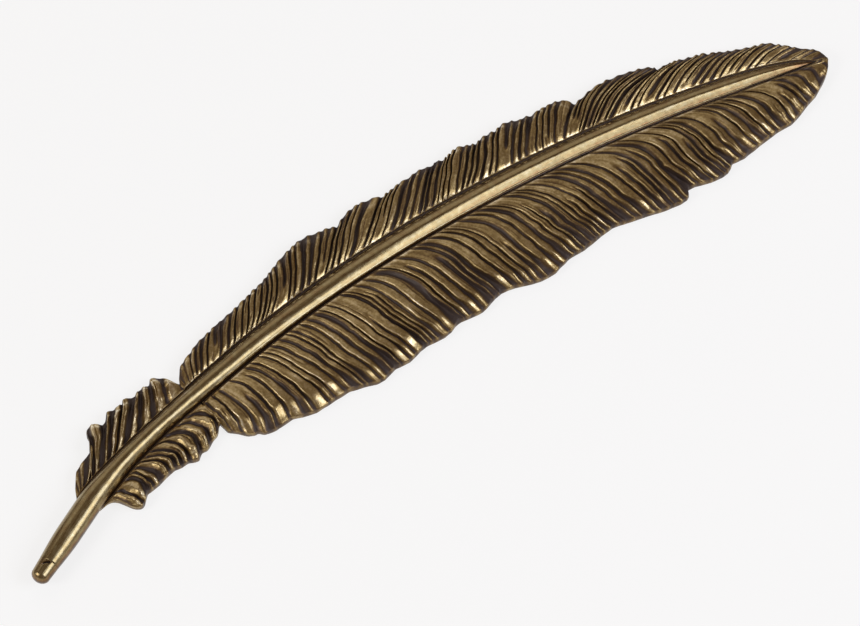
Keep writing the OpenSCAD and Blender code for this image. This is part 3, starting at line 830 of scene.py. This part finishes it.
def nick(distance, angle):
    """Depth of the nail nick: a slanting crescent that leaves the cap's rim and runs forward over the top."""
    turn = (angle + math.pi) % (2 * math.pi) - math.pi
    share = (turn - NICK_FROM) / NICK_TURN
    middle = SEAM - 0.25 - 1.30 * share + 0.28 * np.sin(math.pi * np.clip(share, 0, 1))
    along = step(share / 0.15) * step((1 - share) / 0.25)
    return NICK_DEPTH * along * np.exp(-np.abs((distance - middle) / 0.25) ** 2.6)


def arc(centre, radius_along, radius_out, start, end, points):
    """Points of an ellipse about a centre on the axis, between two angles in degrees from straight out."""
    angle = np.radians(np.linspace(start, end, points))
    return np.stack([centre - radius_along * np.sin(angle), radius_out * np.cos(angle)], axis=1)


def make_barrel():
    """Turned quill: a sine taper from the seam to the straight stretch, a spigot in front, a tenon behind."""
    t = np.linspace(0, 1, 28)
    taper_r = CAP_R + (QUILL_R - CAP_R) * np.sin(math.pi / 2 * t)
    taper = np.stack([SEAM + (TAPER_TO - SEAM) * t, taper_r], axis=1)
    nose = np.stack([np.linspace(SEAM, SEAM + 0.9, 6), CAP_R + 0.08 * np.linspace(0, 1, 6)], axis=1)
    straight = np.stack([np.linspace(TAPER_TO, SHAFT_FROM, 24), np.full(24, QUILL_R)], axis=1)
    spigot = [(4.0, REFILL_BORE_R), (1.8, REFILL_BORE_R), (1.8, 1.55), (1.9, SPIGOT_R), (SEAM, SPIGOT_R),
              (SEAM, 2.10)]
    tenon = [(SHAFT_FROM, TENON_R), (22.5, TENON_R), (22.5, BUSH_R), (6, BUSH_R), (6, REFILL_BORE_R)]
    profile = np.concatenate([spigot, nose[1:], taper[4:-1], straight, tenon])
    piece = turned("quill_barrel_turned", profile, 160)
    finish_piece(piece, POLISHED, "feather", "antique_brass_polished", "quill_barrel")


def make_cap():
    """Turned tip cap: an elliptic dome, a straight skirt with the nick in its rim, and a stepped bore."""
    dome = arc(0.5, 1.6, 2.0, 90, 0, 26)
    skirt = np.stack([np.linspace(0.5, 3.41, 60), np.linspace(2.0, CAP_R, 60)], axis=1)
    bore = [(3.45, 2.13), (3.45, 1.72), (3.40, 1.68), (1.75, 1.68), (1.75, 1.25), (-0.4, 1.25),
            (-0.4, SEAL_R), (-0.75, SEAL_R), (-0.75, 0)]
    piece = turned("tip_cap_turned", np.concatenate([dome, skirt[1:], bore]), 160, nick)
    finish_piece(piece, POLISHED, "cap", "antique_brass_polished", "tip_cap")


def make_refill():
    """Refill, seal and bush: a tube rolled on to a turned point, with a paste column and a lapped ball."""
    tube = [(15, TUBE_BORE_R), (4.24, TUBE_BORE_R), (4.2, 0.99), (4.2, 1.13), (4.24, REFILL_R),
            (4.9, REFILL_R), (5.0, 1.12), (5.1, REFILL_R), (5.4, REFILL_R), (5.5, 1.12), (5.6, REFILL_R),
            (26.3, REFILL_R), (26.4, 1.1), (26.4, 0.98), (26.36, TUBE_BORE_R)]
    piece = turned("refill_tube_drawn", tube, 64)
    finish_piece(piece, NICKEL, "refill", "nickel_plated_brass", "refill_tube")
    socket_at = np.radians(np.linspace(56, -19, 9))
    socket = np.stack([0.37 * np.sin(socket_at), 0.37 * np.cos(socket_at)], axis=1)
    outside = [(-0.12, 0.43), (-0.06, 0.47), (0.8, 0.62), (2.15, 0.98), (2.3, 1.02), (3.3, 1.05), (3.4, 1.06),
               (3.55, 1.14), (3.62, REFILL_R), (4.16, REFILL_R), (4.2, 1.14), (4.2, 0.945), (5.9, 0.945),
               (6, 0.85), (6, 0.2)]
    piece = turned("refill_point_turned", np.concatenate([[(3, 0.2)], socket, outside]), 64)
    finish_piece(piece, NICKEL, "refill", "nickel_plated_brass", "refill_point")
    piece = turned("writing_ball_lapped", arc(0, 0.35, 0.35, 90, -90, 25), 40)
    finish_piece(piece, CARBIDE, "refill", "ball_steel", "writing_ball")
    ink = [(6.02, 0), (6.02, 0.88), (6.1, 0.94), (23.9, 0.94), (23.82, 0.85), (23.6, 0.5), (23.5, 0)]
    piece = turned("refill_ink_column", ink, 40)
    finish_piece(piece, INK, "refill", "ink_paste", "refill_ink")
    bush = [(10, 1.205), (6.1, 1.205), (6, 1.25), (6, 1.38), (6.08, BUSH_R), (13.92, BUSH_R), (14, 1.38),
            (14, 1.25), (13.9, 1.205)]
    piece = turned("refill_bush_moulded", bush, 64)
    finish_piece(piece, BUSH, "feather", "bush_plastic", "refill_bush")
    seal = [(-0.75, 0), (-0.75, 0.76), (-0.71, SEAL_R), (-0.49, SEAL_R), (-0.45, 0.76), (-0.45, 0.3),
            (-0.5, 0)]
    piece = turned("cap_seal_moulded", seal, 40)
    finish_piece(piece, RUBBER, "cap", "seal_rubber", "cap_seal")


make_barrel()
make_cap()
make_refill()


# ---- Camera, floor and light ----

def direction(azimuth, elevation):
    """Unit vector from the object towards a place at this azimuth and elevation, in degrees."""
    a, e = math.radians(azimuth), math.radians(elevation)
    return np.array([math.sin(a) * math.cos(e), -math.cos(a) * math.cos(e), math.sin(e)])


def aimed(thing, where, at):
    """Puts a camera or light at a place and turns its -Z towards a point."""
    thing.location = where
    thing.rotation_euler = (Vector(at) - Vector(where)).to_track_quat("-Z", "Y").to_euler()


# Here lengths are in metres
AIM = np.array([-2.45, -9.1, 0.0]) * MM
CAMERA_AWAY = 0.7585
FLOOR_HALF = 3.0
FLOOR_DOWN = 0.0002
camera_data = bpy.data.cameras.new("camera")
camera = bpy.data.objects.new("camera", camera_data)
bpy.context.scene.collection.objects.link(camera)
bpy.context.scene.camera = camera
camera_data.lens = 150
camera_data.sensor_width = 36
camera_data.clip_start = 0.01
aimed(camera, AIM + CAMERA_AWAY * direction(-37, 62), AIM)


def softbox(name, azimuth, elevation, away, width, height, watts, colour="#ffffff"):
    """A rectangular area light that faces the object."""
    data = bpy.data.lights.new(name, "AREA")
    data.shape = "RECTANGLE"
    data.size, data.size_y = width, height
    data.energy = watts
    data.color = srgb(colour)[:3]
    lamp = bpy.data.objects.new(name, data)
    bpy.context.scene.collection.objects.link(lamp)
    aimed(lamp, AIM + away * direction(azimuth, elevation), AIM)


softbox("key", 36, 40, 0.80, 0.54, 0.42, 3.15, "#ebf1ff")
softbox("back_card", 162, 36, 1.1, 1.0, 0.8, 1.5)
softbox("left_strip", -100, 35, 0.9, 0.36, 0.36, 2.2)

world = bpy.data.worlds.new("studio")
bpy.context.scene.world = world
world.use_nodes = True
world.node_tree.nodes["Background"].inputs[0].default_value = srgb("#ffe3cb")
world.node_tree.nodes["Background"].inputs[1].default_value = 0.22

floor_mesh = bpy.data.meshes.new("floor")
corners = [(-FLOOR_HALF, -FLOOR_HALF, 0), (FLOOR_HALF, -FLOOR_HALF, 0), (FLOOR_HALF, FLOOR_HALF, 0),
           (-FLOOR_HALF, FLOOR_HALF, 0)]
floor_mesh.from_pydata(corners, [], [(0, 1, 2, 3)])
floor = bpy.data.objects.new("floor", floor_mesh)
floor.location.z = -FLOOR_DOWN
bpy.context.scene.collection.objects.link(floor)
card, card_shader = new_material("matt_white_card")
card_shader.inputs["Base Color"].default_value = srgb("#7c7c7c")
card_shader.inputs["Roughness"].default_value = 0.9
card_shader.inputs["Emission Color"].default_value = srgb("#ffffff")
card_shader.inputs["Emission Strength"].default_value = 0.787
floor_mesh.materials.append(card)

bpy.context.scene.view_settings.view_transform = "Standard"
